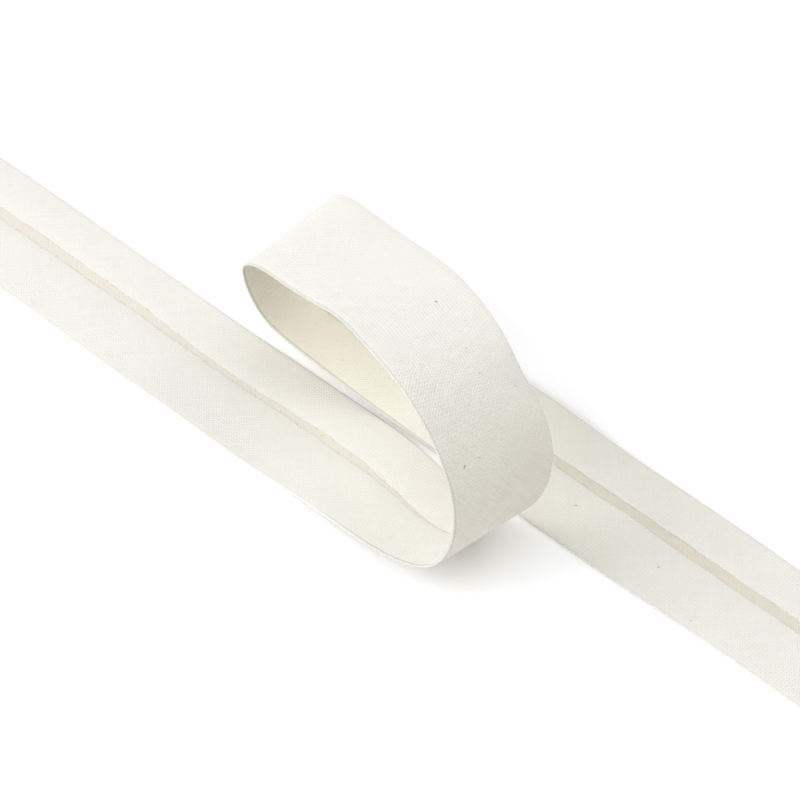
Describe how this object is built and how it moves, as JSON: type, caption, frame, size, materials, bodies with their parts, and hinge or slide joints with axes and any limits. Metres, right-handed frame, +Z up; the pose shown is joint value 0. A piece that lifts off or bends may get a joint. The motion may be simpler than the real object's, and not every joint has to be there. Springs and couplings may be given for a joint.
{
  "type": "looped length of bias tape",
  "caption": "Length of folded cotton bias tape with both raw edges turned in, lying flat at both ends and turned over once into an open standing loop.",
  "frame": {"origin": "on the table, under the middle of the overall length and width", "axes": "+X along both flat runs, from the front run's cut end towards the back run's cut end; +Y across the tape, from the front run to the back run; +Z up from the table"},
  "size_m": [0.195, 0.0434, 0.0357],
  "materials": {
    "cotton": "unbleached plain-weave cotton, matt, with a few dark seed flecks"
  },
  "bodies": {
    "root": {"bias_tape": "cotton"}
  },
  "joints": []
}
